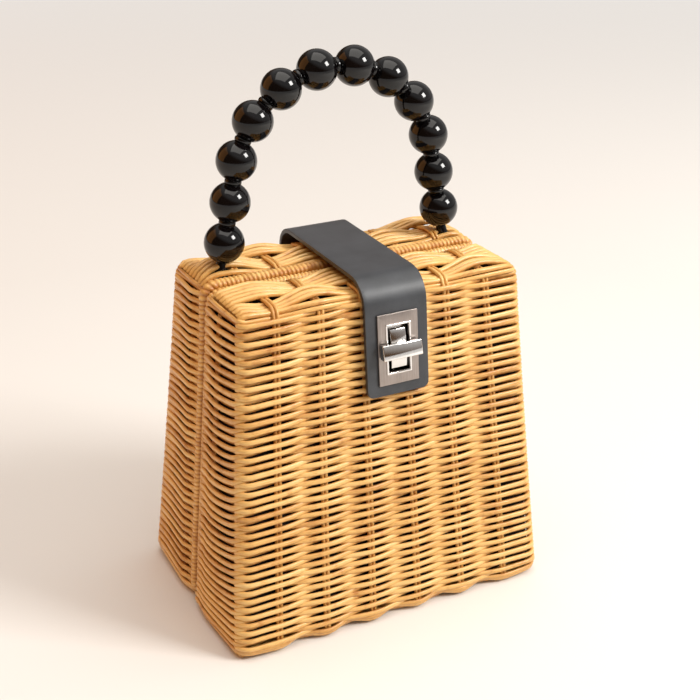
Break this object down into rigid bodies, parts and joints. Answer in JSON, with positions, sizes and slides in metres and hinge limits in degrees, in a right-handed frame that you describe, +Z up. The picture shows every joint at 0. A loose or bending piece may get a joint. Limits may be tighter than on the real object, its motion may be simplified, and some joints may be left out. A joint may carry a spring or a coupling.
{
  "type": "basket box bag",
  "caption": "Woven cane box bag: two tapered half baskets hinged at the base, a beaded arch handle and a leather strap over the top with a turn lock.",
  "frame": {"origin": "middle of the bag's base, on the surface it stands on, at the seam between the halves", "axes": "+Z up, +X to the right along the front, -Y out of the front with the lock"},
  "size_m": [0.182, 0.1216, 0.2827],
  "materials": {
    "cane": "lacquered cane",
    "cane_binding": "lacquered flat cane",
    "cane_core": "lacquered cane",
    "bead": "high gloss",
    "leather": "matte grain",
    "lining": "plain weave cotton",
    "lock_plate": "satin",
    "lock_chrome": "polished",
    "steel": "plain"
  },
  "bodies": {
    "back_half": {"back_basket": "cane", "back_lining": "lining", "back_hoop": "cane_core", "back_binding": "cane_binding", "hinge_tie_left": "cane_core", "hinge_tie_right": "cane_core", "handle_core": "steel", "bead_spacers": "bead", "handle_ferrule_left": "bead", "handle_ferrule_right": "bead", "handle_washer_left": "steel", "handle_washer_right": "steel", "handle_nut_left": "steel", "handle_nut_right": "steel", "strap": "leather", "strap_rivets": "steel", "rivet_washers": "steel", "bead_01": "bead", "bead_02": "bead", "bead_03": "bead", "bead_04": "bead", "bead_05": "bead", "bead_06": "bead", "bead_07": "bead", "bead_08": "bead", "bead_09": "bead", "bead_10": "bead", "bead_11": "bead", "bead_12": "bead"},
    "front_half": {"front_basket": "cane", "front_lining": "lining", "front_hoop": "cane_core", "front_binding": "cane_binding", "lock_base": "lock_chrome", "lock_inner_plate": "steel"},
    "turn_bar": {"turn_bar": "lock_chrome"},
    "strap_end": {"slot_plate": "lock_plate", "prong_washers": "steel"}
  },
  "joints": [
    {"name": "front_open", "type": "hinge", "parent": "back_half", "child": "front_half", "pos_m": [0, -0.0029, 0.0046], "axis": [1, 0, 0], "range_deg": [0, 70]},
    {"name": "bar_turn", "type": "hinge", "parent": "front_half", "child": "turn_bar", "pos_m": [0.0028, -0.0452, 0.1488], "axis": [0, -0.9941, 0.1089], "range_deg": [0, 90]},
    {"name": "strap_lift", "type": "hinge", "parent": "back_half", "child": "strap_end", "pos_m": [0.0028, -0.0345, 0.181], "axis": [-1, 0, 0], "range_deg": [0, 100], "deforming": ["strap"]}
  ]
}
